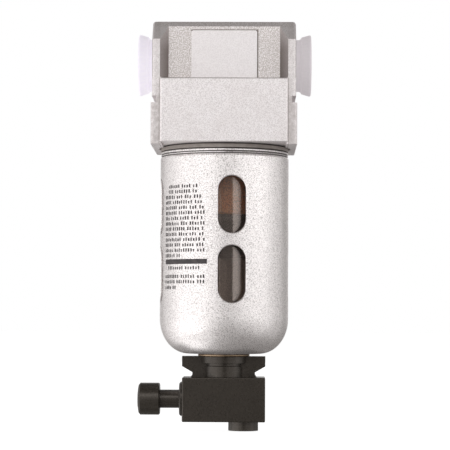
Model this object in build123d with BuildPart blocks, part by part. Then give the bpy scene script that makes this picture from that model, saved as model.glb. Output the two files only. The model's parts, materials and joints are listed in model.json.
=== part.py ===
from build123d import *
import os
from math import cos, hypot, radians, sin

# Compressed air filter for a modular air line.
#
# A die-cast head carries two threaded ports and hangs a sintered element and a
# baffle inside a clear bowl. A windowed metal guard screws into the head and
# holds the bowl up. A push-button drain valve closes the bottom of the bowl.
#
# Frame: origin at the centre of the inlet port, in the plane of the inlet
# flange. +X is the flow direction, +Z is up, -Y is the front. Millimetres.

# ---------------------------------------------------------------- driving sizes
HEAD_WIDTH = 52.2           # flange face to flange face
HEAD_DEPTH = 51.0           # front to back over the flanges
HEAD_TOP = 13.8             # above the port axis
HEAD_BOTTOM = -30.75
HEAD_CORNER_R = 1.2
BLOCK_WIDTH = 46.3          # lower block between the flanges
BLOCK_DEPTH = 53.0
BLOCK_TOP = -7.6
BLOCK_CORNER_R = 0.9
TOP_CHAMFER = 7.3           # along the front and back top edges
FLANGE_EDGE = 2.9           # thickness of a flange at its outer edge
WEDGE = 2.9                 # extra thickness of a flange at its root
RECESS_DEPTH = 5.3          # pocket between the flanges, for a clamp's jaws
CHEEK_STEP = 0.4            # lower cheeks stand proud of the flange faces
CHEEK_THICKNESS = 4.0
CHEEK_BOTTOM = -31.5
KEY_TOP = -14.1             # key slot across each cheek
KEY_HEIGHT = 2.4
KEY_DEPTH = 1.5
PAD_WIDTH = 23.9            # raised pad on the wall of each recess
PAD_TOP = 10.3
PAD_RISE = 0.7

THREAD_R = 7.475            # G 3/8 minor radius
THREAD_LENGTH = 10.0
SEAL_R = 10.0               # counterbore for the joint's seal ring
SEAL_DEPTH = 3.0
PASSAGE_R = 7.0
INLET_PASSAGE = 4.0         # length of the inlet passage past its thread
PARTITION = 2.0             # wall between the inlet passage and the outlet passage
INLET_SLOT = 16.0           # width of the slot from there into the ring chamber

CAVITY_R = 22.5             # bowl socket in the head
CAVITY_TOP = -16.0
CHAMBER_R = 18.9            # ring chamber over the deflector
CHAMBER_TOP = -8.5
BOSS_R = 9.2
BOSS_BOTTOM = -15.8
BOSS_BORE_R = 6.5
STUD_R = 2.5
STUD_TOP = 11.0
STUD_BOTTOM = -64.5

GUARD_R = 23.9
GUARD_WALL = 1.2
GUARD_BOTTOM = -107.6
GUARD_CORNER = (10.5, 13.0)  # elliptical round of the guard's lower edge, across and up
GUARD_TURN = 7.7            # the windows stand this far round from the front
GUARD_HOLE_R = 8.0
NECK_R = 22.3
NECK_BORE_R = 20.6
NECK_TOP = -18.8
THREAD_PITCH = 2.0
THREAD_RELIEF = 0.55
SHOULDER_TOP = -34.8
BEAD_R = 23.7               # rolled beads between the neck and the shoulder
BEAD_GROOVE_R = 23.0
BEADS = ((-33.65, -32.95), (-34.4, -34.0))
WINDOW_WIDTH = 10.2
WINDOW_HEIGHT = 20.8
WINDOW_CENTRES = (-53.2, -78.4)
WINDOW_SIDES = (-90, 0, 90)     # front and both sides, none at the back
WINDOW_LIP = 0.3            # chamfer round each window

BOWL_R = 20.0
BOWL_WALL = 1.8
BOWL_BOTTOM = -104.8
BOWL_FLOOR_THICKNESS = 2.4
BOWL_FLANGE_R = 22.2
BOWL_FLANGE_TOP = -16.2
BOWL_FLANGE_THICKNESS = 2.4
BOWL_CORNER_R = 8.5
BOWL_BOSS_R = 7.0

ELEMENT_R = 13.0
ELEMENT_BORE_R = 8.6
ELEMENT_TOP = -24.8
ELEMENT_BOTTOM = -56.2
BAFFLE_R = 15.5
BAFFLE_BOTTOM = -71.7

LOCK_RING_R = 9.6
LOCK_RING_BOTTOM = -108.5
COLLAR_R = 8.7
COLLAR_BOTTOM = -111.1
DRAIN_NECK_R = 7.4
WING_HALF = 15.45           # wings across the neck
WING_TOP = -108.6
WING_CORNER = -112.3
WING_THICKNESS = 6.0
NOTCH_HALF = 11.6           # from the bowl axis to the tip of the notch under a wing
NOTCH_TOP = -114.5
NOTCH_BOTTOM = -115.3
WING_FOOT = 12.6            # where a wing meets the block
BLOCK_LEFT = -15.3          # drain block, from the bowl axis
BLOCK_RIGHT = 15.4
DRAIN_BLOCK_TOP = -116.3
DRAIN_BLOCK_BOTTOM = -132.7
DRAIN_BLOCK_DEPTH = 16.0
SPIGOT_R = 5.0
SPIGOT_TOP = -96.8
VALVE_Z = -124.5            # plunger axis
VALVE_BORE_R = 4.0
VALVE_BORE_END = 12.5
STEM_R = 3.4
BUTTON_R = 5.95
BUTTON_OUT = -31.95         # outer end of the button, from the bowl axis
BUTTON_IN = -23.7
OUTLET_X = 7.3              # drain outlet, from the bowl axis
OUTLET_R = 5.55
OUTLET_BOTTOM = -136.1
OUTLET_THREAD_R = 4.28      # G 1/8 minor radius
OUTLET_THREAD_LENGTH = 7.0
OUTLET_PASSAGE_R = 1.6

SLIP = 0.05                 # clearance between pieces that only rest on each other

# ------------------------------------------------------------ planes and axes
BOWL_X = HEAD_WIDTH / 2
BOWL_AXIS = Axis((BOWL_X, 0, 0), (0, 0, 1))
BOWL_SECTION = Plane(origin=(BOWL_X, 0, 0), x_dir=(1, 0, 0), z_dir=(0, -1, 0))
MIDDLE = Plane(origin=(BOWL_X, 0, 0), z_dir=(1, 0, 0))
PORT_AXIS = Axis((0, 0, 0), (1, 0, 0))
PORT_SECTION = Plane(origin=(0, 0, 0), x_dir=(-1, 0, 0), z_dir=(0, 1, 0))
VALVE_AXIS = Axis((BOWL_X, 0, VALVE_Z), (1, 0, 0))
VALVE_SECTION = Plane(origin=(BOWL_X, 0, VALVE_Z), x_dir=(1, 0, 0), z_dir=(0, -1, 0))


def level(height, x=0.0):
    """Horizontal plane, centred on the bowl axis or x to the right of it."""
    return Plane(origin=(BOWL_X + x, 0, height), z_dir=(0, 0, 1))


def across(x, height=0.0):
    """Upright plane across the flow, at x from the inlet flange, facing +X."""
    return Plane(origin=(x, 0, height), x_dir=(0, 1, 0), z_dir=(1, 0, 0))


def section(plane, points):
    """Flat section through the given points of a plane."""
    with BuildSketch(plane) as drawn:
        with BuildLine():
            Polyline(*points, close=True)
        make_face()
    return drawn.sketch


def ring(inner, outer, bottom, top, plane=BOWL_SECTION):
    """Section of a plain ring about the bowl axis, or a band of another plane."""
    return section(plane, [(inner, bottom), (outer, bottom), (outer, top), (inner, top)])


def cord(plane, across_plane, along_plane, wire):
    """Round section of a seal ring."""
    with BuildSketch(plane) as drawn:
        with Locations((across_plane, along_plane)):
            Circle(wire)
    return drawn.sketch


def from_bowl_axis(edge):
    """Greatest distance of an edge's end and middle from the bowl axis."""
    return max(hypot(point.X - BOWL_X, point.Y) for point in (edge @ 0, edge @ 0.5))


# ------------------------------------------------------------------------ head
HALF_DEPTH = HEAD_DEPTH / 2
RECESS_FLOOR = HALF_DEPTH - RECESS_DEPTH
PAD_FACE = RECESS_FLOOR + PAD_RISE
PAD_CORNER_R = 0.8
PORT_END = SEAL_DEPTH + THREAD_LENGTH
SOCKET_MOUTH_R = BEAD_R + 0.8
SOCKET_GROOVES = 4

with BuildPart() as head_block:
    # lower block, proud of the flanges at the front and the back
    with BuildSketch(level(HEAD_BOTTOM)):
        RectangleRounded(BLOCK_WIDTH, BLOCK_DEPTH, BLOCK_CORNER_R)
    extrude(amount=BLOCK_TOP - HEAD_BOTTOM)
    fillet(head_block.faces().sort_by(Axis.Z)[-1].edges(), radius=0.6)
    fillet(head_block.faces().sort_by(Axis.Z)[0].edges(), radius=0.3)

with BuildPart() as head:
    with BuildSketch(across(0)):
        with BuildLine():
            Polyline((-HALF_DEPTH, HEAD_BOTTOM), (HALF_DEPTH, HEAD_BOTTOM),
                     (HALF_DEPTH, HEAD_TOP - TOP_CHAMFER), (HALF_DEPTH - TOP_CHAMFER, HEAD_TOP),
                     (TOP_CHAMFER - HALF_DEPTH, HEAD_TOP),
                     (-HALF_DEPTH, HEAD_TOP - TOP_CHAMFER), close=True)
        make_face()
    extrude(amount=HEAD_WIDTH)
    ends = head.faces().filter_by(Axis.X)
    fillet([edge for edge in ends.edges() if edge.center().Z > HEAD_BOTTOM + 1], radius=HEAD_CORNER_R)
    # lower cheeks, a little wider than the flange faces
    cheek_middle = CHEEK_THICKNESS / 2 - CHEEK_STEP
    for x in (cheek_middle, HEAD_WIDTH - cheek_middle):
        with BuildSketch(Plane.XY.offset(CHEEK_BOTTOM)):
            with Locations((x, 0)):
                RectangleRounded(CHEEK_THICKNESS, HEAD_DEPTH, HEAD_CORNER_R)
        extrude(amount=KEY_TOP - KEY_HEIGHT - CHEEK_BOTTOM)
    # pockets between the flanges, with wedge-shaped sides for a clamp
    for side in (-1, 1):
        with BuildSketch(Plane.XY.offset(BLOCK_TOP)):
            with BuildLine():
                Polyline((FLANGE_EDGE, side * HALF_DEPTH), (HEAD_WIDTH - FLANGE_EDGE, side * HALF_DEPTH),
                         (HEAD_WIDTH - FLANGE_EDGE - WEDGE, side * RECESS_FLOOR),
                         (FLANGE_EDGE + WEDGE, side * RECESS_FLOOR), close=True)
            make_face()
        extrude(amount=HEAD_TOP - BLOCK_TOP, mode=Mode.SUBTRACT)
    # raised pad on each recess wall, its lower end inside the block
    pad_height = PAD_TOP - BLOCK_TOP + 3.0
    for side in (-1, 1):
        with BuildSketch(Plane(origin=(BOWL_X, side * PAD_FACE, 0), x_dir=(1, 0, 0), z_dir=(0, -1, 0))):
            with Locations((0, PAD_TOP - pad_height / 2)):
                RectangleRounded(PAD_WIDTH, pad_height, PAD_CORNER_R)
        extrude(amount=side * (PAD_RISE + 1.0))
    add(head_block.part)
    # key slots, right across both cheeks
    with BuildSketch(Plane.XZ):
        for x in (KEY_DEPTH / 2, HEAD_WIDTH - KEY_DEPTH / 2):
            with Locations((x, KEY_TOP - KEY_HEIGHT / 2)):
                Rectangle(KEY_DEPTH, KEY_HEIGHT)
    extrude(amount=HEAD_DEPTH, both=True, mode=Mode.SUBTRACT)
    # ports: seal counterbore and thread at each side
    for x, inward in ((0, 1), (HEAD_WIDTH, -1)):
        with BuildSketch(across(x)):
            Circle(SEAL_R)
        extrude(amount=inward * SEAL_DEPTH, mode=Mode.SUBTRACT)
        with BuildSketch(across(x)):
            Circle(THREAD_R)
        extrude(amount=inward * PORT_END, mode=Mode.SUBTRACT)
    # passages: a short one at the inlet, and one from the outlet right across the centre boss
    with BuildSketch(across(PORT_END)):
        Circle(PASSAGE_R)
    extrude(amount=INLET_PASSAGE, mode=Mode.SUBTRACT)
    with BuildSketch(across(HEAD_WIDTH - PORT_END)):
        Circle(PASSAGE_R)
    extrude(amount=2 * PORT_END + INLET_PASSAGE + PARTITION - HEAD_WIDTH, mode=Mode.SUBTRACT)
    # the inlet falls through a slot into the ring chamber
    with BuildSketch(Plane.XY.offset(CHAMBER_TOP - 1.0)):
        with Locations((PORT_END + INLET_PASSAGE / 2, 0)):
            Rectangle(INLET_PASSAGE, INLET_SLOT)
    extrude(amount=-CHAMBER_TOP - 1.0, mode=Mode.SUBTRACT)
    # the outlet is fed through the centre boss
    with BuildSketch(level(BOSS_BOTTOM)):
        Circle(BOSS_BORE_R)
    extrude(amount=-BOSS_BOTTOM, mode=Mode.SUBTRACT)
    # ring chamber and bowl socket
    revolve(section(BOWL_SECTION, [(BOSS_R, CHAMBER_TOP), (CHAMBER_R, CHAMBER_TOP), (CHAMBER_R, CAVITY_TOP),
                                   (CAVITY_R, CAVITY_TOP), (CAVITY_R, HEAD_BOTTOM),
                                   (SOCKET_MOUTH_R, HEAD_BOTTOM), (SOCKET_MOUTH_R, CHEEK_BOTTOM - 1),
                                   (0, CHEEK_BOTTOM - 1),
                                   (0, BOSS_BOTTOM), (BOSS_R, BOSS_BOTTOM)]),
            BOWL_AXIS, mode=Mode.SUBTRACT)
    # relief grooves between the turns of the socket's thread
    for turn in range(SOCKET_GROOVES):
        z = HEAD_BOTTOM + 2.5 + turn * THREAD_PITCH
        revolve(ring(CAVITY_R - 0.1, CAVITY_R + THREAD_RELIEF, z, z + THREAD_PITCH / 2),
                BOWL_AXIS, mode=Mode.SUBTRACT)
    # tapped hole for the stud
    with BuildSketch(level(0)):
        Circle(STUD_R)
    extrude(amount=STUD_TOP, mode=Mode.SUBTRACT)
head.part.label = "head"

# ---------------------------------------------------------- port transport plugs
PLUG_R = 11.45
PLUG_NECK_R = 9.7
PLUG_OUT = 6.0              # stands this far out of the flange face
PLUG_NECK = 1.6             # plain part of the neck outside the flange face
PLUG_FLARE = 2.5            # where the rim begins
PLUG_RIM_R = 10.6           # rim at its inner side
PLUG_IN = 2.7
PLUG_WALL = 1.3
PLUG_DISH = 0.4             # the outer face is dished by this
PLUG_DISH_R = 5.6


def plug_section():
    """Section of a push-in cap plug; the plane's x runs out of the port."""
    face = PLUG_OUT - PLUG_DISH
    back = face - PLUG_WALL
    bore = PLUG_NECK_R - PLUG_WALL
    return section(PORT_SECTION, [
        (-PLUG_IN, bore), (-PLUG_IN, PLUG_NECK_R - 0.4), (-PLUG_IN + 0.5, PLUG_NECK_R),
        (PLUG_NECK, PLUG_NECK_R), (PLUG_FLARE - 0.4, PLUG_NECK_R + 0.25), (PLUG_FLARE, PLUG_RIM_R),
        (PLUG_OUT - 0.6, PLUG_R), (PLUG_OUT - 0.2, PLUG_R - 0.1), (PLUG_OUT, PLUG_R - 0.45),
        (PLUG_OUT, PLUG_DISH_R + 0.4), (face, PLUG_DISH_R), (face, 0), (back, 0), (back, bore)])


with BuildPart() as inlet_plug:
    revolve(plug_section(), PORT_AXIS)
inlet_plug.part.label = "inlet_plug"

with BuildPart() as outlet_plug:
    revolve(plug_section(), PORT_AXIS)
    mirror(about=MIDDLE)
    split(bisect_by=MIDDLE, keep=Keep.TOP)
outlet_plug.part.label = "outlet_plug"

# -------------------------------------------------- element, deflector and stud
DEFLECTOR_TOP = BOSS_BOTTOM - SLIP
DEFLECTOR_BOTTOM = -23.6
DEFLECTOR_BORE_R = 6.6
DEFLECTOR_NECK_R = 11.5
DEFLECTOR_FOOT_R = 13.6
VANE_COUNT = 12
VANE_LENGTH = 5.6
VANE_TILT = 35
SHROUD_R = 17.4             # ring round the tips of the vanes
GASKET_R = ELEMENT_R - 0.4

with BuildPart() as center_stud:
    revolve(ring(0, STUD_R - SLIP, STUD_BOTTOM, STUD_TOP - 0.5), BOWL_AXIS)
    chamfer(center_stud.edges().filter_by(GeomType.CIRCLE), length=0.4)
center_stud.part.label = "center_stud"

with BuildPart() as deflector:
    revolve(section(BOWL_SECTION, [(DEFLECTOR_BORE_R, DEFLECTOR_BOTTOM), (DEFLECTOR_FOOT_R, DEFLECTOR_BOTTOM),
                                   (DEFLECTOR_FOOT_R, -21.5), (DEFLECTOR_NECK_R, -19.0),
                                   (DEFLECTOR_NECK_R, DEFLECTOR_TOP), (DEFLECTOR_BORE_R, DEFLECTOR_TOP)]),
            BOWL_AXIS)
    # slanted vanes throw the incoming air round the bowl
    for step in range(VANE_COUNT):
        angle = radians(step * 360 / VANE_COUNT)
        root_r = DEFLECTOR_NECK_R - 0.5
        root = Plane(origin=(BOWL_X + root_r * cos(angle), root_r * sin(angle), -20.3),
                     x_dir=(-sin(angle), cos(angle), 0), z_dir=(cos(angle), sin(angle), 0))
        with BuildSketch(root):
            Rectangle(1.2, 6.0, rotation=VANE_TILT)
        extrude(amount=VANE_LENGTH)
    revolve(ring(SHROUD_R - 1.2, SHROUD_R, -23.0, -17.6), BOWL_AXIS)
deflector.part.label = "deflector"

with BuildPart() as element_gasket_top:
    revolve(ring(ELEMENT_BORE_R, GASKET_R, ELEMENT_TOP + SLIP, DEFLECTOR_BOTTOM - SLIP), BOWL_AXIS)
element_gasket_top.part.label = "element_gasket_top"

with BuildPart() as filter_element:
    revolve(ring(ELEMENT_BORE_R, ELEMENT_R, ELEMENT_BOTTOM, ELEMENT_TOP), BOWL_AXIS)
    chamfer(filter_element.edges().filter_by(GeomType.CIRCLE), length=0.4)
filter_element.part.label = "filter_element"

BAFFLE_TOP = ELEMENT_BOTTOM - 1.0
BAFFLE_CAP = 2.5            # thickness of the cap under the element
BAFFLE_BORE_R = STUD_R + 0.2
SKIRT_R = 13.2              # skirt under the cap, at its lower edge
SKIRT_BORE_R = 12.0
RIB_COUNT = 8
RIB_WIDTH = 5.6
RIB_MIDDLE_R = 9.9
RIB_THICKNESS = 1.0

with BuildPart() as element_gasket_bottom:
    revolve(ring(ELEMENT_BORE_R, GASKET_R, BAFFLE_TOP + SLIP, ELEMENT_BOTTOM - SLIP), BOWL_AXIS)
element_gasket_bottom.part.label = "element_gasket_bottom"

with BuildPart() as baffle:
    # cap under the element, then a skirt that keeps the sump still
    revolve(section(BOWL_SECTION, [(BAFFLE_BORE_R, BAFFLE_TOP - BAFFLE_CAP), (BAFFLE_BORE_R, BAFFLE_TOP),
                                   (BAFFLE_R, BAFFLE_TOP), (BAFFLE_R, BAFFLE_TOP - 1.6),
                                   (SKIRT_R + 1.0, BAFFLE_TOP - 3.0), (SKIRT_R, BAFFLE_BOTTOM),
                                   (SKIRT_BORE_R, BAFFLE_BOTTOM),
                                   (SKIRT_BORE_R + 0.2, BAFFLE_TOP - BAFFLE_CAP)]),
            BOWL_AXIS)
    for step in range(RIB_COUNT):
        angle = radians(step * 360 / RIB_COUNT)
        root = Plane(origin=(BOWL_X, 0, 0), x_dir=(cos(angle), sin(angle), 0),
                     z_dir=(sin(angle), -cos(angle), 0))
        with BuildSketch(root):
            with Locations((RIB_MIDDLE_R, (BAFFLE_TOP + BAFFLE_BOTTOM) / 2)):
                Rectangle(RIB_WIDTH, BAFFLE_TOP - BAFFLE_BOTTOM - 3.0)
        extrude(amount=RIB_THICKNESS / 2, both=True)
baffle.part.label = "baffle"

with BuildPart() as baffle_nut:
    with BuildSketch(level(BAFFLE_TOP - 6.0)):
        RegularPolygon(4.6, 6)
        Circle(STUD_R, mode=Mode.SUBTRACT)
    extrude(amount=3.4)
baffle_nut.part.label = "baffle_nut"

# ----------------------------------------------------------- bowl and its seals
BOWL_INNER_R = BOWL_R - BOWL_WALL
BOWL_FLOOR = BOWL_BOTTOM + BOWL_FLOOR_THICKNESS
BOWL_FLANGE_BOTTOM = BOWL_FLANGE_TOP - BOWL_FLANGE_THICKNESS
SPIGOT_HOLE_R = SPIGOT_R + 0.2
SEAL_GROOVE_R = 20.6
SEAL_GROOVE_BOTTOM = BOWL_FLANGE_TOP - 1.5
SEAL_WIRE_R = 0.8

with BuildPart() as bowl:
    with BuildSketch(BOWL_SECTION):
        with BuildLine():
            corner = (BOWL_R - BOWL_CORNER_R, BOWL_BOTTOM + BOWL_CORNER_R)
            inner_corner_r = BOWL_CORNER_R - BOWL_WALL
            Polyline((SPIGOT_HOLE_R, BOWL_FLOOR), (SPIGOT_HOLE_R, GUARD_BOTTOM - 0.2),
                     (BOWL_BOSS_R, GUARD_BOTTOM - 0.2), (BOWL_BOSS_R, BOWL_BOTTOM), (corner[0], BOWL_BOTTOM))
            CenterArc(corner, BOWL_CORNER_R, 270, 90)
            Polyline((BOWL_R, corner[1]), (BOWL_R, BOWL_FLANGE_BOTTOM), (BOWL_FLANGE_R, BOWL_FLANGE_BOTTOM),
                     (BOWL_FLANGE_R, BOWL_FLANGE_TOP), (BOWL_INNER_R, BOWL_FLANGE_TOP),
                     (BOWL_INNER_R, corner[1]))
            CenterArc(corner, inner_corner_r, 0, -90)
            Line((corner[0], corner[1] - inner_corner_r), (SPIGOT_HOLE_R, BOWL_FLOOR))
        make_face()
    revolve(axis=BOWL_AXIS)
    revolve(ring(SEAL_GROOVE_R - 1.0, SEAL_GROOVE_R + 1.0, SEAL_GROOVE_BOTTOM, BOWL_FLANGE_TOP + 1),
            BOWL_AXIS, mode=Mode.SUBTRACT)
bowl.part.label = "bowl"

with BuildPart() as bowl_o_ring:
    seal_z = SEAL_GROOVE_BOTTOM + SEAL_WIRE_R + SLIP
    revolve(cord(BOWL_SECTION, SEAL_GROOVE_R, seal_z, SEAL_WIRE_R), BOWL_AXIS)
bowl_o_ring.part.label = "bowl_o_ring"

SLIP_RING_TOP = HEAD_BOTTOM - 0.45
SLIP_RING_BOTTOM = -32.55

with BuildPart() as slip_ring:
    revolve(ring(NECK_R + 0.2, BEAD_R, SLIP_RING_BOTTOM, SLIP_RING_TOP), BOWL_AXIS)
    fillet(slip_ring.edges().filter_by(GeomType.CIRCLE).group_by(SortBy.RADIUS)[-1], radius=0.15)
slip_ring.part.label = "slip_ring"

# ------------------------------------------------------------------ bowl guard
GUARD_INNER_R = GUARD_R - GUARD_WALL
GUARD_FLOOR = GUARD_BOTTOM + GUARD_WALL
BEAD_SEAT = -32.9           # top of the beads, under the slip ring
NECK_GROOVES = 5

with BuildPart() as bowl_guard:
    with BuildSketch(BOWL_SECTION):
        with BuildLine():
            across_r, up_r = GUARD_CORNER
            corner = (GUARD_R - across_r, GUARD_BOTTOM + up_r)
            Polyline((GUARD_HOLE_R, GUARD_FLOOR), (GUARD_HOLE_R, GUARD_BOTTOM), (corner[0], GUARD_BOTTOM))
            EllipticalCenterArc(corner, across_r, up_r, 270, arc_size=90)
            Polyline((GUARD_R, corner[1]), (GUARD_R, SHOULDER_TOP - 0.6), (GUARD_R - 0.25, SHOULDER_TOP),
                     (BEAD_GROOVE_R, SHOULDER_TOP), (BEAD_GROOVE_R, BEAD_SEAT), (NECK_R, BEAD_SEAT),
                     (NECK_R, NECK_TOP), (NECK_BORE_R, NECK_TOP), (NECK_BORE_R, SHOULDER_TOP - 1.0),
                     (GUARD_INNER_R, SHOULDER_TOP - 3.0), (GUARD_INNER_R, corner[1]))
            EllipticalCenterArc(corner, across_r - GUARD_WALL, up_r - GUARD_WALL, 270, arc_size=90)
            Line((corner[0], GUARD_FLOOR), (GUARD_HOLE_R, GUARD_FLOOR))
        make_face()
    revolve(axis=BOWL_AXIS)
    # two rolled beads under the slip ring
    for bottom, top in BEADS:
        with BuildSketch(BOWL_SECTION):
            with Locations(((BEAD_GROOVE_R + BEAD_R) / 2 - 0.3, (bottom + top) / 2)):
                RectangleRounded(BEAD_R - BEAD_GROOVE_R + 0.6, top - bottom, 0.18)
        revolve(axis=BOWL_AXIS)
    # relief grooves between the turns of the neck's thread
    for turn in range(NECK_GROOVES):
        z = NECK_TOP - 2.0 - turn * THREAD_PITCH
        revolve(ring(NECK_R - THREAD_RELIEF, NECK_R + 0.2, z - THREAD_PITCH / 2, z),
                BOWL_AXIS, mode=Mode.SUBTRACT)
    # sight windows, two to a column
    for side in WINDOW_SIDES:
        angle = radians(-90 + GUARD_TURN + side)
        facing = Plane(origin=(BOWL_X, 0, 0), x_dir=(-sin(angle), cos(angle), 0),
                       z_dir=(cos(angle), sin(angle), 0))
        with BuildSketch(facing.offset(GUARD_R - 4.0)):
            with Locations(*[(0, z) for z in WINDOW_CENTRES]):
                SlotOverall(WINDOW_HEIGHT, WINDOW_WIDTH, rotation=90)
        extrude(amount=6.0, mode=Mode.SUBTRACT)
    lowest = min(WINDOW_CENTRES) - WINDOW_HEIGHT / 2
    highest = max(WINDOW_CENTRES) + WINDOW_HEIGHT / 2
    rims = [edge for edge in bowl_guard.edges()
            if lowest - 0.1 < edge.center().Z < highest + 0.1 and from_bowl_axis(edge) > GUARD_R - 0.01]
    chamfer([edge for edge in rims if edge.length < WINDOW_HEIGHT + 1], length=WINDOW_LIP)
bowl_guard.part.label = "bowl_guard"

# ---------------------------------------------------------------- drain fixings
GASKET_TOP = BOWL_FLOOR + 1.3
DRAIN_GASKET_R = 8.4
DRAIN_NUT_R = 9.0
DRAIN_NUT_HEIGHT = 3.8

with BuildPart() as drain_lock_ring:
    revolve(ring(SPIGOT_HOLE_R, LOCK_RING_R, LOCK_RING_BOTTOM, GUARD_BOTTOM - 0.25), BOWL_AXIS)
    fillet(drain_lock_ring.edges().filter_by(GeomType.CIRCLE).group_by(SortBy.RADIUS)[-1], radius=0.15)
drain_lock_ring.part.label = "drain_lock_ring"

with BuildPart() as drain_gasket:
    revolve(ring(SPIGOT_HOLE_R, DRAIN_GASKET_R, BOWL_FLOOR + SLIP, GASKET_TOP), BOWL_AXIS)
drain_gasket.part.label = "drain_gasket"

with BuildPart() as drain_nut:
    with BuildSketch(level(GASKET_TOP + SLIP)):
        RegularPolygon(DRAIN_NUT_R, 6)
        Circle(SPIGOT_R + 0.02, mode=Mode.SUBTRACT)
    extrude(amount=DRAIN_NUT_HEIGHT)
drain_nut.part.label = "drain_nut"

# ----------------------------------------------------------------- drain valve
COLLAR_TOP = LOCK_RING_BOTTOM - SLIP
NECK_GROOVE_R = DRAIN_NECK_R - 0.4
GLAND_R = 6.35
GLAND_BORE_R = STEM_R + 0.1
GLAND_SPIGOT_R = 5.2
GLAND_DEPTH = 5.0
GLAND_HEAD = 1.15
DRAIN_PASSAGE_R = 2.2
BORE_MOUTH = BLOCK_LEFT - 0.5       # the valve's bores are cut from just outside the block

with BuildPart() as drain_body:
    with BuildSketch(level(DRAIN_BLOCK_BOTTOM, (BLOCK_LEFT + BLOCK_RIGHT) / 2)):
        Rectangle(BLOCK_RIGHT - BLOCK_LEFT, DRAIN_BLOCK_DEPTH)
    extrude(amount=DRAIN_BLOCK_TOP - DRAIN_BLOCK_BOTTOM)
    fillet(drain_body.edges(), radius=0.5)
    # collar, groove and neck over the block, and the spigot into the bowl
    revolve(section(BOWL_SECTION, [(0, DRAIN_BLOCK_TOP - 1), (DRAIN_NECK_R, DRAIN_BLOCK_TOP - 1),
                                   (DRAIN_NECK_R, COLLAR_BOTTOM - 1.2), (NECK_GROOVE_R, COLLAR_BOTTOM - 1.0),
                                   (NECK_GROOVE_R, COLLAR_BOTTOM - 0.1), (COLLAR_R, COLLAR_BOTTOM),
                                   (COLLAR_R, COLLAR_TOP - 0.2), (COLLAR_R - 0.2, COLLAR_TOP),
                                   (SPIGOT_R, COLLAR_TOP), (SPIGOT_R, SPIGOT_TOP - 0.5),
                                   (SPIGOT_R - 0.5, SPIGOT_TOP), (0, SPIGOT_TOP)]), BOWL_AXIS)
    # flat wings across the neck, to turn the valve by hand
    with BuildSketch(BOWL_SECTION) as wings:
        with BuildLine():
            Polyline((-WING_HALF, WING_TOP), (WING_HALF, WING_TOP), (WING_HALF, WING_CORNER),
                     (NOTCH_HALF, NOTCH_TOP), (NOTCH_HALF, NOTCH_BOTTOM), (WING_FOOT, DRAIN_BLOCK_TOP - 0.6),
                     (-WING_FOOT, DRAIN_BLOCK_TOP - 0.6), (-NOTCH_HALF, NOTCH_BOTTOM),
                     (-NOTCH_HALF, NOTCH_TOP), (-WING_HALF, WING_CORNER), close=True)
        make_face()
        fillet([corner for corner in wings.vertices() if abs(abs(corner.X - BOWL_X) - NOTCH_HALF) < 0.01],
               radius=0.5)
    extrude(amount=WING_THICKNESS / 2, both=True)
    # outlet under the block
    with BuildSketch(level(OUTLET_BOTTOM, OUTLET_X)):
        Circle(OUTLET_R)
    extrude(amount=DRAIN_BLOCK_BOTTOM - OUTLET_BOTTOM + 1.0)
    # bores: down from the bowl, along the plunger, out through the outlet
    with BuildSketch(level(VALVE_Z)):
        Circle(DRAIN_PASSAGE_R)
    extrude(amount=SPIGOT_TOP + 1 - VALVE_Z, mode=Mode.SUBTRACT)
    with BuildSketch(across(BOWL_X + BORE_MOUTH, VALVE_Z)):
        Circle(VALVE_BORE_R)
    extrude(amount=VALVE_BORE_END - BORE_MOUTH, mode=Mode.SUBTRACT)
    with BuildSketch(across(BOWL_X + BORE_MOUTH, VALVE_Z)):
        Circle(GLAND_SPIGOT_R + 0.02)
    extrude(amount=BLOCK_LEFT + GLAND_DEPTH - BORE_MOUTH, mode=Mode.SUBTRACT)
    with BuildSketch(level(OUTLET_BOTTOM, OUTLET_X)):
        Circle(OUTLET_THREAD_R)
    extrude(amount=OUTLET_THREAD_LENGTH, mode=Mode.SUBTRACT)
    with BuildSketch(level(OUTLET_BOTTOM, OUTLET_X)):
        Circle(OUTLET_PASSAGE_R)
    extrude(amount=VALVE_Z - OUTLET_BOTTOM, mode=Mode.SUBTRACT)
drain_body.part.label = "drain_body"

with BuildPart() as drain_gland:
    # screwed bush that keeps the plunger in, with a flat head against the block
    gland_face = BLOCK_LEFT - 0.02
    gland_front = gland_face - GLAND_HEAD
    gland_end = BLOCK_LEFT + GLAND_DEPTH - SLIP
    revolve(section(VALVE_SECTION, [(gland_front, GLAND_BORE_R), (gland_front, GLAND_R - 0.5),
                                    (gland_front + 0.5, GLAND_R), (gland_face, GLAND_R),
                                    (gland_face, GLAND_SPIGOT_R), (gland_end, GLAND_SPIGOT_R),
                                    (gland_end, GLAND_BORE_R)]), VALVE_AXIS)
drain_gland.part.label = "drain_gland"

# plunger: shoulder behind the gland, two sealing lands with a waist between them
PLUNGER_START = BUTTON_IN - 5.0
TANG_R = STEM_R - 1.1       # end of the stem, inside the button
SHOULDER_X = BLOCK_LEFT + GLAND_DEPTH + SLIP
LAND_R = VALVE_BORE_R - 0.08
WAIST_R = 2.2
WAIST = (-5.6, 1.8)
SEAL_POSITIONS = (-7.4, 3.2)
SEAL_BOTTOM_R = 2.6
PLUNGER_END = 6.0
SPRING_SEAT = PLUNGER_END - 1.3
SPRING_SEAT_R = 3.2

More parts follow.
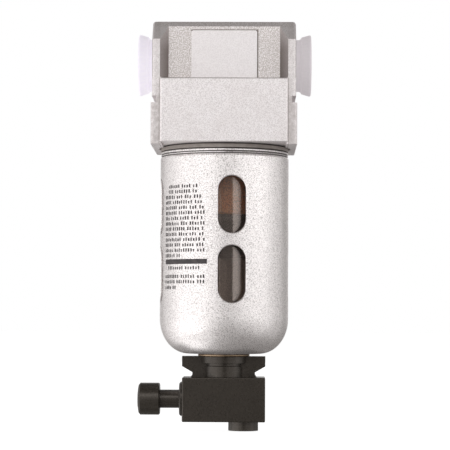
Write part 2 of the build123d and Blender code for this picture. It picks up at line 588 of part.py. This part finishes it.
with BuildPart() as plunger:
    revolve(section(VALVE_SECTION, [(PLUNGER_START, 0), (PLUNGER_START, TANG_R), (BUTTON_IN, TANG_R),
                                    (BUTTON_IN, STEM_R), (SHOULDER_X, STEM_R), (SHOULDER_X, LAND_R),
                                    (WAIST[0], LAND_R), (WAIST[0], WAIST_R), (WAIST[1], WAIST_R),
                                    (WAIST[1], LAND_R), (PLUNGER_END, LAND_R), (PLUNGER_END, 0)]), VALVE_AXIS)
    for x in SEAL_POSITIONS:
        revolve(ring(x - 0.8, x + 0.8, SEAL_BOTTOM_R, LAND_R + 1, VALVE_SECTION),
                VALVE_AXIS, mode=Mode.SUBTRACT)
    # pocket that seats the return spring
    revolve(ring(SPRING_SEAT, PLUNGER_END + 1, 0, SPRING_SEAT_R, VALVE_SECTION),
            VALVE_AXIS, mode=Mode.SUBTRACT)
plunger.part.label = "plunger"

with BuildPart() as plunger_o_rings:
    for x in SEAL_POSITIONS:
        revolve(cord(VALVE_SECTION, x, 3.3, 0.65), VALVE_AXIS)
plunger_o_rings.part.label = "plunger_o_rings"

with BuildPart() as push_button:
    button_back = BUTTON_IN - 0.02
    revolve(section(VALVE_SECTION, [(BUTTON_OUT, 0), (BUTTON_OUT, 3.0), (BUTTON_OUT + 0.35, BUTTON_R - 0.8),
                                    (BUTTON_OUT + 1.0, BUTTON_R), (button_back - 0.35, BUTTON_R),
                                    (button_back, BUTTON_R - 0.35), (button_back, TANG_R + 0.02),
                                    (PLUNGER_START - 0.02, TANG_R + 0.02), (PLUNGER_START - 0.02, 0)]),
            VALVE_AXIS)
push_button.part.label = "push_button"

SPRING_WIRE = 0.3
SPRING_COIL_R = 2.6
SPRING_TURNS = 5
SPRING_START = SPRING_SEAT + SPRING_WIRE + SLIP
SPRING_RISE = VALVE_BORE_END - SPRING_WIRE - SLIP - SPRING_START

with BuildPart() as plunger_spring:
    with BuildLine():
        coil = Helix(pitch=SPRING_RISE / SPRING_TURNS, height=SPRING_RISE, radius=SPRING_COIL_R,
                     direction=(1, 0, 0), center=(BOWL_X + SPRING_START, 0, VALVE_Z))
    with BuildSketch(Plane(origin=coil @ 0, z_dir=coil % 0)):
        Circle(SPRING_WIRE)
    sweep(path=coil, is_frenet=True)
plunger_spring.part.label = "plunger_spring"

# ---------------------------------------------------------------------- export
PIECES = (head, inlet_plug, outlet_plug, center_stud, deflector, element_gasket_top, filter_element,
          element_gasket_bottom, baffle, baffle_nut, bowl, bowl_o_ring, slip_ring, bowl_guard,
          drain_lock_ring, drain_gasket, drain_nut, drain_body, drain_gland, plunger, plunger_o_rings,
          push_button, plunger_spring)

os.makedirs("parts", exist_ok=True)
for piece in PIECES:
    export_step(piece.part, "parts/" + piece.part.label + ".step")
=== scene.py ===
import json
import math
import random

import bpy
from mathutils import Matrix, Vector

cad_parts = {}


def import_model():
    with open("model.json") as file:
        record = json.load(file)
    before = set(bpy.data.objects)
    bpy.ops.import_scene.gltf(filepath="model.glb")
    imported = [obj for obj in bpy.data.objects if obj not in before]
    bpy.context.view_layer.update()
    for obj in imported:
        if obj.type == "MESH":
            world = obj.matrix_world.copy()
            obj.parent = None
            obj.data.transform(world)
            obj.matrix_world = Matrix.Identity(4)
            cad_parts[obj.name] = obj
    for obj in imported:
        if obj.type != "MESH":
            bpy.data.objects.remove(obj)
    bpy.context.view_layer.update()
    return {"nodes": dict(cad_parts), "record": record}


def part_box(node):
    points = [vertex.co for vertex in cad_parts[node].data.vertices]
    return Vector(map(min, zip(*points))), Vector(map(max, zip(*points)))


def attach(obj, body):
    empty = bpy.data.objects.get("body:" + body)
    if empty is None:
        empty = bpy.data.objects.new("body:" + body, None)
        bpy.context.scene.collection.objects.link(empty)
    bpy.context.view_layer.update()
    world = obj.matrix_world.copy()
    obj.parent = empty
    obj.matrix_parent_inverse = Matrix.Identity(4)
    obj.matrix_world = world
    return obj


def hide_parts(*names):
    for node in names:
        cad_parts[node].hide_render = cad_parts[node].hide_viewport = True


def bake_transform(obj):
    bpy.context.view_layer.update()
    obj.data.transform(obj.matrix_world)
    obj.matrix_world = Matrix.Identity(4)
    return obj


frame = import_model()

MM = 0.001

# ------------------------------------------------------------ places from the frame
guard_low, guard_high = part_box("bowl_guard")
AXIS_X = (guard_low.x + guard_high.x) / 2
AXIS_Y = (guard_low.y + guard_high.y) / 2
GUARD_R = (guard_high.x - guard_low.x) / 2
MIDDLE = Vector((AXIS_X, AXIS_Y, (guard_low.z + guard_high.z) / 2))
FLOOR_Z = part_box("drain_body")[0].z - 0.4 * MM

# places on the head that no box gives
BLOCK_TOP_Z = -7.6 * MM     # top of the lower block, which closes the recesses below
BLOCK_HALF = 23.15 * MM     # half the width of the lower block, between the side strips
KEY_TOP_Z = -14.1 * MM      # the key slots and the cheeks lie below this
RECESS_WALL = 20.25 * MM    # from the middle plane to just in front of the wall of each recess
RECESS_MOUTH = 25.5 * MM    # from the middle plane to where each recess opens
PAD_FACE = 20.9 * MM        # from the middle plane to the face of the raised pad in each recess
PAD_HALF = 11.95 * MM       # half the width of a pad
PAD_TOP_Z = 10.3 * MM

# places on the guard
BEAD_TOP_Z = -32.9 * MM     # top of the rolled beads; the neck is above
SHOULDER_Z = -34.8 * MM
BEAD_R = 23.7 * MM


# ------------------------------------------------------------------- material kit
# A Mix node's colour sockets share their names with its other sockets, so they go by number.
MIX_A, MIX_B, MIX_RESULT = 6, 7, 2


class Look:
    """A Principled material, with short calls for the nodes that give it its detail."""

    def __init__(self, name, color, roughness, metallic=0.0, **values):
        self.material = bpy.data.materials.new(name)
        self.material.use_nodes = True
        self.tree = self.material.node_tree
        self.shader = self.tree.nodes["Principled BSDF"]
        self.color = (*color, 1.0)
        self.shader.inputs["Base Color"].default_value = self.color
        self.shader.inputs["Roughness"].default_value = roughness
        self.shader.inputs["Metallic"].default_value = metallic
        for socket, value in values.items():
            self.shader.inputs[socket.replace("_", " ")].default_value = value
        coordinates = self.add("ShaderNodeTexCoord").outputs
        self.place = coordinates["Object"]
        self.directions = coordinates["Normal"]
        self.normal = None

    def add(self, kind, links=None, **settings):
        """Adds a node, sets its properties and links or sets its inputs."""
        node = self.tree.nodes.new(kind)
        for name, value in settings.items():
            setattr(node, name, value)
        for name, value in (links or {}).items():
            if isinstance(value, bpy.types.NodeSocket):
                self.tree.links.new(value, node.inputs[name])
            else:
                node.inputs[name].default_value = value
        return node

    def stretched(self, x, y, z):
        """The object's own coordinates, scaled along each axis."""
        return self.add("ShaderNodeMapping", {"Vector": self.place, "Scale": (x, y, z)}).outputs["Vector"]

    def noise(self, size, detail=2.0, place=None):
        """Soft blotches about size metres across, from 0 to 1."""
        links = {"Vector": place or self.place, "Scale": 1 / size, "Detail": detail, "Roughness": 0.55}
        return self.add("ShaderNodeTexNoise", links).outputs["Fac"]

    def grains(self, size):
        """Distance from the middle of packed grains about size metres across."""
        links = {"Vector": self.place, "Scale": 1 / size}
        return self.add("ShaderNodeTexVoronoi", links).outputs["Distance"]

    def ramp(self, value, low, high, out_low=0.0, out_high=1.0):
        """value from low..high spread over out_low..out_high, and level beyond them."""
        links = {"Value": value, "From Min": low, "From Max": high, "To Min": out_low, "To Max": out_high}
        return self.add("ShaderNodeMapRange", links).outputs["Result"]

    def along(self, axis):
        """The object's own coordinate along one axis, "X", "Y" or "Z", in metres."""
        return self.add("ShaderNodeSeparateXYZ", {"Vector": self.place}).outputs[axis]

    def away(self, axis, middle=0.0):
        """Distance in metres, to either side, from the plane across an axis at middle."""
        return self.math("ABSOLUTE", self.math("SUBTRACT", self.along(axis), middle))

    def facing(self, axis):
        """1 where the surface looks straight along an axis, to either side, and 0 where it runs along it."""
        parts = self.add("ShaderNodeSeparateXYZ", {"Vector": self.directions})
        return self.math("ABSOLUTE", parts.outputs[axis])

    def math(self, operation, *values):
        return self.add("ShaderNodeMath", dict(enumerate(values)), operation=operation).outputs["Value"]

    def product(self, *masks):
        """The values multiplied, so 1 only where every mask is 1."""
        result = masks[0]
        for mask in masks[1:]:
            result = self.math("MULTIPLY", result, mask)
        return result

    def tint(self, value, other):
        """Blends the colour towards other, fully where value is 1."""
        node = self.add("ShaderNodeMix", {"Factor": value}, data_type="RGBA")
        node.inputs[MIX_A].default_value = self.color
        node.inputs[MIX_B].default_value = (*other, 1.0)
        source = self.shader.inputs["Base Color"]
        if source.is_linked:
            self.tree.links.new(source.links[0].from_socket, node.inputs[MIX_A])
        self.tree.links.new(node.outputs[MIX_RESULT], source)

    def rough(self, value):
        self.tree.links.new(value, self.shader.inputs["Roughness"])

    def bump(self, height, depth, strength=1.0):
        """Raises the surface by up to depth metres where height is 1."""
        links = {"Height": height, "Distance": depth, "Strength": strength}
        if self.normal is not None:
            links["Normal"] = self.normal
        self.normal = self.add("ShaderNodeBump", links).outputs["Normal"]
        self.tree.links.new(self.normal, self.shader.inputs["Normal"])


# ---------------------------------------------------------------------- materials
def above_block(look):
    """1 above the head's lower block, where the recesses are."""
    return look.ramp(look.along("Z"), BLOCK_TOP_Z, BLOCK_TOP_Z + 0.5 * MM)


def upright(look):
    """1 on the head's faces that look to the front or the back."""
    return look.ramp(look.facing("Y"), 0.6, 0.8)


def recess_shade(look):
    """Painted shade on the recesses' walls, speckled, and painted shade on their wedges that grows towards
    the wall and the floor.
    """
    depth = look.away("Y")
    wall = look.ramp(depth, RECESS_WALL, RECESS_WALL + 0.3 * MM, 1.0, 0.0)
    shade_speckle = look.ramp(look.noise(0.44 * MM, detail=3.0), 0.45, 0.56, 0.0, 0.78)
    # painted shade: the recess walls darkened in a speckled pattern, as the shade inside the recess
    look.tint(look.product(wall, above_block(look), upright(look), shade_speckle), (0.52, 0.47, 0.435))
    facing = look.facing("X")
    wedge = look.product(look.ramp(facing, 0.80, 0.84), look.ramp(facing, 0.91, 0.95, 1.0, 0.0))
    deeper = look.ramp(depth, RECESS_WALL, RECESS_MOUTH, 1.0, 0.75)
    lower = look.ramp(look.along("Z"), 3 * MM, 11 * MM, 1.0, 0.6)
    # painted shade: the wedges darkened, more towards the wall and lower down
    look.tint(look.product(wedge, deeper, lower, above_block(look)), (0.21, 0.18, 0.17))


def pad_painted_shadow(look):
    """A painted shadow line where a pad meets the recess's wall, at its top and on its right."""
    beside = look.math("SUBTRACT", look.along("X"), AXIS_X + PAD_HALF)
    over = look.math("SUBTRACT", look.along("Z"), PAD_TOP_Z)
    outline = look.math("ABSOLUTE", look.math("MAXIMUM", beside, over))
    near = look.ramp(outline, 0.2 * MM, 0.55 * MM, 1.0, 0.0)
    off_the_face = look.ramp(look.away("Y"), PAD_FACE - 0.2 * MM, PAD_FACE - 0.05 * MM, 1.0, 0.0)
    left_end = AXIS_X - PAD_HALF
    right_of_it = look.ramp(look.along("X"), left_end - 0.2 * MM, left_end)
    # painted shadow of the pad on the recess wall
    look.tint(look.product(near, off_the_face, right_of_it, above_block(look)), (0.20, 0.17, 0.15))


def cheek_shade(look):
    """Painted shade makes the flanges and the cheeks beside the lower block darker than the block, the cheeks
    blotchy.
    """
    strip = look.ramp(look.away("X", AXIS_X), BLOCK_HALF, BLOCK_HALF + 0.2 * MM, 0.0, 0.8)
    blotch = look.ramp(look.noise(1.6 * MM, detail=4.0), 0.35, 0.62, 0.4, 1.2)
    low = look.ramp(look.along("Z"), KEY_TOP_Z, KEY_TOP_Z + 0.2 * MM, 1.0, 0.5)
    # painted shade beside the lower block, made blotchy by the noise
    look.tint(look.product(strip, upright(look), blotch, low), (0.55, 0.51, 0.50))


def pad_painted_light(look):
    """The pads are painted lighter than the walls round them: painted light on the faces that stand out of
    the recesses.
    """
    face = look.ramp(look.away("Y"), PAD_FACE - 0.05 * MM, PAD_FACE, 0.0, 0.6)
    within = look.ramp(look.away("X", AXIS_X), PAD_HALF, PAD_HALF + 0.1 * MM, 1.0, 0.0)
    # painted light on the pad faces
    look.tint(look.product(face, above_block(look), within), (0.86, 0.825, 0.83))


def block_edge_shade(look):
    """Painted shade along the lower block's top edge, and painted shade where its sides meet the strips."""
    height = look.along("Z")
    edge = look.product(look.ramp(height, BLOCK_TOP_Z - 0.35 * MM, BLOCK_TOP_Z - 0.1 * MM, 0.0, 0.6),
                        look.ramp(height, BLOCK_TOP_Z, BLOCK_TOP_Z + 0.05 * MM, 1.0, 0.0))
    outside = look.ramp(look.away("Y"), RECESS_MOUTH, RECESS_MOUTH + 0.1 * MM)
    # painted shade along the block's top edge
    look.tint(look.product(edge, outside), (0.36, 0.32, 0.30))
    out = look.away("X", AXIS_X)
    corner = look.product(look.ramp(out, BLOCK_HALF + 0.1 * MM, BLOCK_HALF + 0.5 * MM, 0.6, 0.0),
                          look.ramp(out, BLOCK_HALF - 0.05 * MM, BLOCK_HALF))
    below = look.ramp(height, BLOCK_TOP_Z, BLOCK_TOP_Z + 0.1 * MM, 1.0, 0.0)
    # painted shade in the corners between the block and the strips
    look.tint(look.product(corner, below), (0.30, 0.265, 0.25))


def head_paint():
    """Silver paint over a shot-blasted casting: flakes and orange peel, with painted shade in the recesses,
    beside the lower block and along its edges, and painted light on the pads.
    """
    look = Look("head_paint", (0.72, 0.68, 0.68), 0.5, metallic=0.8)
    flakes = look.noise(0.33 * MM)
    look.tint(look.ramp(flakes, 0.38, 0.58), (0.95, 0.915, 0.92))
    look.tint(look.ramp(look.noise(9 * MM), 0.35, 0.75, 0.0, 0.3), (0.72, 0.665, 0.655))
    recess_shade(look)
    pad_painted_shadow(look)
    cheek_shade(look)
    pad_painted_light(look)
    block_edge_shade(look)
    look.rough(look.ramp(flakes, 0.3, 0.7, 0.58, 0.44))
    look.bump(look.noise(0.30 * MM, detail=3.0), 0.06 * MM, 0.8)
    look.bump(look.grains(1.1 * MM), 0.03 * MM, 0.35)
    return look.material


def guard_metal():
    """Satin silver, finely blasted: bright grains between darker ones, over drawn metal."""
    look = Look("guard_metal", (0.53, 0.495, 0.49), 0.42, metallic=0.9)
    flakes = look.noise(0.32 * MM)
    look.tint(look.ramp(flakes, 0.38, 0.53), (0.99, 0.955, 0.95))
    # painted shade: the neck above the beads is painted near black, as the shade under the head
    height = look.along("Z")
    look.tint(look.ramp(height, BEAD_TOP_Z, BEAD_TOP_Z + 0.1 * MM), (0.05, 0.045, 0.04))
    across, deep = look.away("X", AXIS_X), look.away("Y", AXIS_Y)
    squares = look.math("ADD", look.product(across, across), look.product(deep, deep))
    # painted shade: the grooves between the beads painted darker, as the shade in them
    groove = look.ramp(look.math("SQRT", squares), BEAD_R - 0.5 * MM, BEAD_R - 0.1 * MM, 0.9, 0.0)
    beads = look.ramp(height, SHOULDER_Z, SHOULDER_Z + 0.05 * MM)
    look.tint(look.product(groove, beads), (0.12, 0.105, 0.10))
    look.rough(look.ramp(flakes, 0.3, 0.7, 0.50, 0.36))
    look.bump(look.noise(0.30 * MM, detail=3.0), 0.045 * MM, 0.9)
    drawn = look.noise(1.4 * MM, place=look.stretched(1.0, 1.0, 0.03))
    look.bump(drawn, 0.015 * MM, 0.3)
    return look.material


def clear_plastic():
    """Clear moulded bowl: what is behind it shows, and its wall mirrors by Fresnel."""
    look = Look("clear_plastic", (1.0, 0.90, 0.84), 0.05, metallic=1.0)
    look.rough(look.ramp(look.noise(3 * MM), 0.3, 0.7, 0.03, 0.09))
    look.bump(look.noise(6 * MM), 0.05 * MM, 0.2)
    clear = look.add("ShaderNodeBsdfTransparent", {"Color": (0.97, 0.94, 0.92, 1.0)})
    haze = look.add("ShaderNodeBsdfDiffuse", {"Color": (0.80, 0.66, 0.60, 1.0)})
    body = look.add("ShaderNodeMixShader", {0: 0.035, 1: clear.outputs[0], 2: haze.outputs[0]})
    fresnel = look.add("ShaderNodeFresnel", {"IOR": 1.85}).outputs["Fac"]
    mixed = look.add("ShaderNodeMixShader", {0: fresnel, 1: body.outputs[0], 2: look.shader.outputs[0]})
    look.tree.links.new(mixed.outputs[0], look.tree.nodes["Material Output"].inputs["Surface"])
    return look.material


def plug_plastic(name, color, ribbed, painted_glow, painted_glow_color):
    """Waxy polyethylene that lets light through, finely ribbed at its sides; its emission is painted light, a
    steady glow standing in for the light coming through.
    """
    # the emission is painted light, not a lamp
    look = Look(name, color, 0.45, Subsurface_Weight=0.6, Subsurface_Scale=3.0 * MM,
                Specular_IOR_Level=0.2, Emission_Color=(*painted_glow_color, 1.0), Emission_Strength=painted_glow)
    look.shader.inputs["Subsurface Radius"].default_value = (1.0, 0.9, 1.1)
    ribs = look.noise(0.8 * MM, place=look.stretched(0.05, 1.0, 1.0))
    look.tint(look.ramp(ribs, 0.35, 0.7, 0.0, 0.5), ribbed)
    look.rough(look.ramp(look.noise(1.5 * MM), 0.3, 0.7, 0.38, 0.52))
    look.bump(ribs, 0.05 * MM, 0.4)
    look.bump(look.noise(0.25 * MM), 0.01 * MM, 0.4)
    return look.material


def drain_black():
    """Satin black with a warm cast, finely grained by its blasting."""
    look = Look("drain_black", (0.0130, 0.0105, 0.0078), 0.32, Specular_IOR_Level=0.68,
                Specular_Tint=(1.0, 0.90, 0.82, 1.0))
    look.tint(look.ramp(look.noise(5 * MM, detail=4.0), 0.4, 0.75, 0.0, 0.6), (0.023, 0.019, 0.0145))
    look.tint(look.ramp(look.noise(0.45 * MM, detail=3.0), 0.45, 0.65, 0.0, 0.5), (0.028, 0.0235, 0.018))
    look.rough(look.ramp(look.noise(0.8 * MM, detail=3.0), 0.3, 0.7, 0.25, 0.38))
    look.bump(look.noise(0.3 * MM, detail=3.0), 0.015 * MM, 0.5)
    return look.material


def moulded_black():
    """Black moulded plastic with a fine matt grain."""
    look = Look("moulded_black", (0.035, 0.034, 0.034), 0.5)
    look.rough(look.ramp(look.noise(1.2 * MM), 0.3, 0.7, 0.42, 0.6))
    look.bump(look.noise(0.4 * MM, detail=3.0), 0.02 * MM, 0.6)
    return look.material


def grey_plastic():
    """Warm grey moulded plastic, slightly mottled."""
    look = Look("grey_plastic", (0.27, 0.235, 0.215), 0.55)
    look.tint(look.ramp(look.noise(2.0 * MM), 0.35, 0.7, 0.0, 1.0), (0.34, 0.305, 0.28))
    look.bump(look.noise(0.3 * MM), 0.015 * MM, 0.6)
    return look.material


def seal_rubber():
    """Matt black nitrile rubber."""
    look = Look("seal_rubber", (0.018, 0.018, 0.018), 0.6)
    look.rough(look.ramp(look.noise(1.0 * MM), 0.3, 0.7, 0.52, 0.7))
    look.bump(look.noise(0.2 * MM), 0.01 * MM, 0.6)
    return look.material


def sintered_bronze():
    """Sintered bronze: fused grains with dark gaps between them."""
    look = Look("sintered_bronze", (0.88, 0.38, 0.17), 0.6, metallic=0.1)
    grains = look.grains(0.5 * MM)
    look.tint(look.ramp(grains, 0.35, 0.75, 0.0, 0.7), (0.30, 0.13, 0.07))
    look.tint(look.ramp(look.noise(4 * MM), 0.4, 0.7, 0.0, 0.5), (0.72, 0.42, 0.25))
    look.bump(look.ramp(grains, 0.0, 0.7, 1.0, 0.0), 0.15 * MM, 0.8)
    return look.material


def turned(name, color, dull, roughness):
    """Turned metal: fine rings along the axis, slightly stained."""
    look = Look(name, color, roughness, metallic=1.0)
    look.tint(look.ramp(look.noise(3 * MM, detail=4.0), 0.4, 0.75, 0.0, 0.8), dull)
    look.rough(look.ramp(look.noise(0.6 * MM), 0.3, 0.7, roughness - 0.06, roughness + 0.1))
    look.bump(look.noise(0.12 * MM, place=look.stretched(0.02, 0.02, 1.0)), 0.01 * MM, 0.5)
    return look.material


def print_ink():
    """Screen-printed ink, thin enough to let a little of the metal's grain show."""
    look = Look("print_ink", (0.030, 0.024, 0.026), 0.4)
    look.tint(look.ramp(look.noise(1.6 * MM, detail=4.0), 0.42, 0.72, 0.0, 0.7), (0.085, 0.07, 0.07))
    look.bump(look.noise(0.3 * MM), 0.01 * MM, 0.5)
    return look.material


MATERIALS = {
    "head_paint": head_paint(),
    "guard_metal": guard_metal(),
    "clear_plastic": clear_plastic(),
    "plug_plastic": plug_plastic("plug_plastic", (0.46, 0.445, 0.48), ribbed=(0.40, 0.385, 0.42),
                                 painted_glow=0.54, painted_glow_color=(0.96, 0.91, 1.0)),
    "drain_black": drain_black(),
    "moulded_black": moulded_black(),
    "grey_plastic": grey_plastic(),
    "seal_rubber": seal_rubber(),
    "sintered_bronze": sintered_bronze(),
    "brass": turned("brass", (0.36, 0.265, 0.18), (0.24, 0.18, 0.12), 0.42),
    "plated_steel": turned("plated_steel", (0.62, 0.62, 0.60), (0.45, 0.44, 0.40), 0.3),
}

# painted shade: the outlet's cap gets a slightly greyer copy of the cap material, with a weaker painted glow,
# as shade on that side
SHADED_OUTLET_PLUG = plug_plastic("plug_plastic_shaded", (0.36, 0.34, 0.35), ribbed=(0.30, 0.285, 0.295),
                           painted_glow=0.36, painted_glow_color=(1.0, 0.935, 0.965))

for part in frame["record"]["subparts"]:
    node = frame["nodes"][part["node"]]
    node.data.materials.clear()
    node.data.materials.append(MATERIALS[part["material_slot"]])
# the outlet's cap takes the painted-shade copy
frame["nodes"]["outlet_plug"].data.materials[0] = SHADED_OUTLET_PLUG


# ------------------------------------------------------------------- return spring
def return_spring():
    """A copy of the plunger spring as a piece of its own, with the original hidden; on the real drain it
    shortens at a press of the button, one end going with the plunger and the other staying in the bore.
    """
    coil = bpy.data.objects.new("return_spring", frame["nodes"]["plunger_spring"].data.copy())
    bpy.context.scene.collection.objects.link(coil)
    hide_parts("plunger_spring")
    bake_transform(coil)


return_spring()


# --------------------------------------------------------------- print on the guard
INK = 0.04 * MM             # thickness of the ink
LIFT = 0.015 * MM           # gap under it, which keeps it clear of the guard's faces


def on_guard(angle, z, rise):
    """A point above the guard's wall; angle is in degrees round from the front, to the right."""
    turn = math.radians(angle)
    radius = GUARD_R + rise
    return (AXIS_X + radius * math.sin(turn), AXIS_Y - radius * math.cos(turn), z)


def add_patch(verts, faces, left, right, bottom, top, steps=1):
    """Adds one thin closed plate of ink, bent round the guard, to verts and faces."""
    first = len(verts)
    for step in range(steps + 1):
        angle = left + (right - left) * step / steps
        for z in (bottom, top):
            verts.append(on_guard(angle, z, LIFT))
            verts.append(on_guard(angle, z, LIFT + INK))
    for step in range(steps):
        a = first + 4 * step
        b = a + 4
        faces += [(a + 1, b + 1, b + 3, a + 3), (a, a + 2, b + 2, b)]
        faces += [(a, b, b + 1, a + 1), (a + 2, a + 3, b + 3, b + 2)]
    last = first + 4 * steps
    faces += [(first, first + 1, first + 3, first + 2), (last, last + 2, last + 3, last + 1)]


def printed(name, verts, faces):
    """Makes one piece of ink, which turns with the guard."""
    mesh = bpy.data.meshes.new(name)
    mesh.from_pydata(verts, [], faces)
    mesh.materials.append(INK_LOOK)
    piece = bpy.data.objects.new(name, mesh)
    bpy.context.scene.collection.objects.link(piece)
    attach(piece, "guard")


INK_LOOK = print_ink()

# The block of small print: rows of plain upright marks, grouped as words are.
PRINT_LEFT = -63.0          # degrees round the guard from its front
PRINT_RIGHT = -16.0
BAR_RIGHT = -14.3
FIRST_ROW_Z = -46.4 * MM
ROW_PITCH = 1.945 * MM
MARK_HEIGHT = 1.25 * MM
MARK_PITCH = 2.6            # degrees from one mark to the next
MARK_WIDTH = 1.35           # degrees
WORD_GAP = 1.7              # extra degrees between two words
BAR_Z = -73.9 * MM
BAR_HEIGHT = 1.8 * MM

# (row number, left end, right end), the ends in degrees; the rows below the bar have heights of their own
BODY_ROWS = [(0, -57.0, -22.5), (1, -57.5, -22.0)]
BODY_ROWS += [(row, PRINT_LEFT, PRINT_RIGHT) for row in range(2, 13)]
BODY_ROWS += [(13, PRINT_LEFT, -41.0), (15.3, -58.0, -19.5)]
BODY_ROWS += [(16.9, PRINT_LEFT, -15.0), (17.9, PRINT_LEFT, -15.0), (18.95, PRINT_LEFT, -46.5)]


def print_rows():
    """Every row runs its full length, in words of three to nine marks."""
    chance = random.Random(11)
    verts, faces = [], []
    for row, left, right in BODY_ROWS:
        z = FIRST_ROW_Z - row * ROW_PITCH
        angle = left
        while angle + MARK_WIDTH <= right:
            for _ in range(chance.randint(3, 9)):
                if angle + MARK_WIDTH > right:
                    break
                height = MARK_HEIGHT * chance.choice((1.0, 1.0, 0.8))
                add_patch(verts, faces, angle, angle + MARK_WIDTH * chance.uniform(0.75, 1.1),
                          z - MARK_HEIGHT / 2, z - MARK_HEIGHT / 2 + height)
                angle += MARK_PITCH
            angle += WORD_GAP
    printed("print_rows", verts, faces)


def level_bar():
    """The solid level bar between the rows of print."""
    verts, faces = [], []
    add_patch(verts, faces, PRINT_LEFT, BAR_RIGHT, BAR_Z - BAR_HEIGHT / 2, BAR_Z + BAR_HEIGHT / 2, steps=16)
    printed("level_bar", verts, faces)


print_rows()
level_bar()


# -------------------------------------------------------------- floor, world, light
FLOOR_SIZE = 6.0            # metres


def floor():
    """A plain pale floor that runs into the white background."""
    bpy.ops.mesh.primitive_plane_add(size=FLOOR_SIZE, location=(AXIS_X, 0, FLOOR_Z))
    plane = bpy.context.object
    plane.name = "floor"
    look = Look("floor", (0.30, 0.30, 0.30), 1.0, Emission_Color=(1.0, 1.0, 1.0, 1.0), Emission_Strength=0.94,
                Specular_IOR_Level=0.0)
    plane.data.materials.append(look.material)
    plane.visible_diffuse = False
    plane.visible_glossy = False
    plane.visible_shadow = False


def world():
    """White to the eye and dim as a light, so that the soft boxes do the modelling."""
    sky = bpy.data.worlds.new("studio")
    sky.use_nodes = True
    tree = sky.node_tree
    seen = tree.nodes["Background"]
    seen.inputs["Color"].default_value = (1.0, 1.0, 1.0, 1.0)
    dim = tree.nodes.new("ShaderNodeBackground")
    dim.inputs["Color"].default_value = (1.0, 0.955, 0.92, 1.0)
    dim.inputs["Strength"].default_value = 0.22
    mix = tree.nodes.new("ShaderNodeMixShader")
    path = tree.nodes.new("ShaderNodeLightPath")
    tree.links.new(path.outputs["Is Camera Ray"], mix.inputs[0])
    tree.links.new(dim.outputs[0], mix.inputs[1])
    tree.links.new(seen.outputs[0], mix.inputs[2])
    tree.links.new(mix.outputs[0], tree.nodes["World Output"].inputs["Surface"])
    bpy.context.scene.world = sky


def soft_box(name, azimuth, elevation, distance, width, height, radiance):
    """An area light facing the object; azimuth is in degrees round from the camera, to the right."""
    turn, rise = math.radians(azimuth), math.radians(elevation)
    out = Vector((math.sin(turn) * math.cos(rise), -math.cos(turn) * math.cos(rise), math.sin(rise)))
    light = bpy.data.lights.new(name, "AREA")
    light.shape = "RECTANGLE"
    light.size, light.size_y = width, height
    light.energy = radiance * math.pi * width * height
    lamp = bpy.data.objects.new(name, light)
    bpy.context.scene.collection.objects.link(lamp)
    lamp.location = MIDDLE + out * distance
    lamp.rotation_euler = (-out).to_track_quat("-Z", "Y").to_euler()


# Banks of upright flats stand round the object in an upper and a lower row. They light its sides and leave
# a gap in front, where the clear bowl would mirror them.
FLAT_DISTANCE = 0.82
FLAT_ANGLE = 20             # degrees of a bank that one flat covers, about
ROWS = (("upper", 16, 0.55), ("lower", -19, 0.47))      # name, elevation in degrees, height of a flat
BANKS = (                   # name, left and right edge in degrees, radiance of its upper and its lower row
    ("far_left", -135, -95, 0.6, 0.6),
    ("left", -95, -35, 0.9, 1.5),
    ("front_left", -35, -8, 1.3, 0.5),
    ("front_right", 19, 60, 1.2, 0.3),
    ("right", 60, 85, 1.4, 0.7),
    ("far_right", 85, 125, 0.6, 0.3),
)


def bank(name, left, right, *radiances):
    """Fills the angle from left to right with flats of one width, in both rows."""
    count = round((right - left) / FLAT_ANGLE)
    angle = (right - left) / count
    width = 2 * FLAT_DISTANCE * math.tan(math.radians(angle / 2))
    for flat in range(count):
        azimuth = left + (flat + 0.5) * angle
        for (row, elevation, height), radiance in zip(ROWS, radiances):
            soft_box(f"{name}_{row}_{flat}", azimuth, elevation, FLAT_DISTANCE, width, height, radiance)


floor()
world()
for settings in BANKS:
    bank(*settings)
soft_box("front_high", 5.5, 25, FLAT_DISTANCE, 0.39, 0.33, 1.5)
soft_box("low_left", -110, -55, 0.8, 0.5, 0.5, 1.5)
soft_box("low_front_left", -45, -50, 0.8, 0.5, 0.5, 0.65)
soft_box("back_fill", 178, 12, 0.9, 0.9, 0.6, 0.8)


# ------------------------------------------------------------------------- camera
LENS = 150.1                # millimetres
EYE = Vector((AXIS_X + 10.25 * MM, -700 * MM, -91.4 * MM))
YAW, TILT, ROLL = math.radians(0.82), math.radians(2.59), math.radians(0.25)


def camera():
    """Almost square on, from a little below the middle of the object and looking slightly up."""
    data = bpy.data.cameras.new("camera")
    data.lens = LENS
    data.sensor_width = 36.0
    data.clip_start = 0.05
    data.clip_end = 20.0
    eye = bpy.data.objects.new("camera", data)
    bpy.context.scene.collection.objects.link(eye)
    upright_turn = Matrix.Rotation(YAW, 4, "Z") @ Matrix.Rotation(math.radians(90) + TILT, 4, "X")
    eye.matrix_world = Matrix.Translation(EYE) @ upright_turn @ Matrix.Rotation(ROLL, 4, "Z")
    bpy.context.scene.camera = eye


camera()
bpy.context.scene.view_settings.view_transform = "Standard"
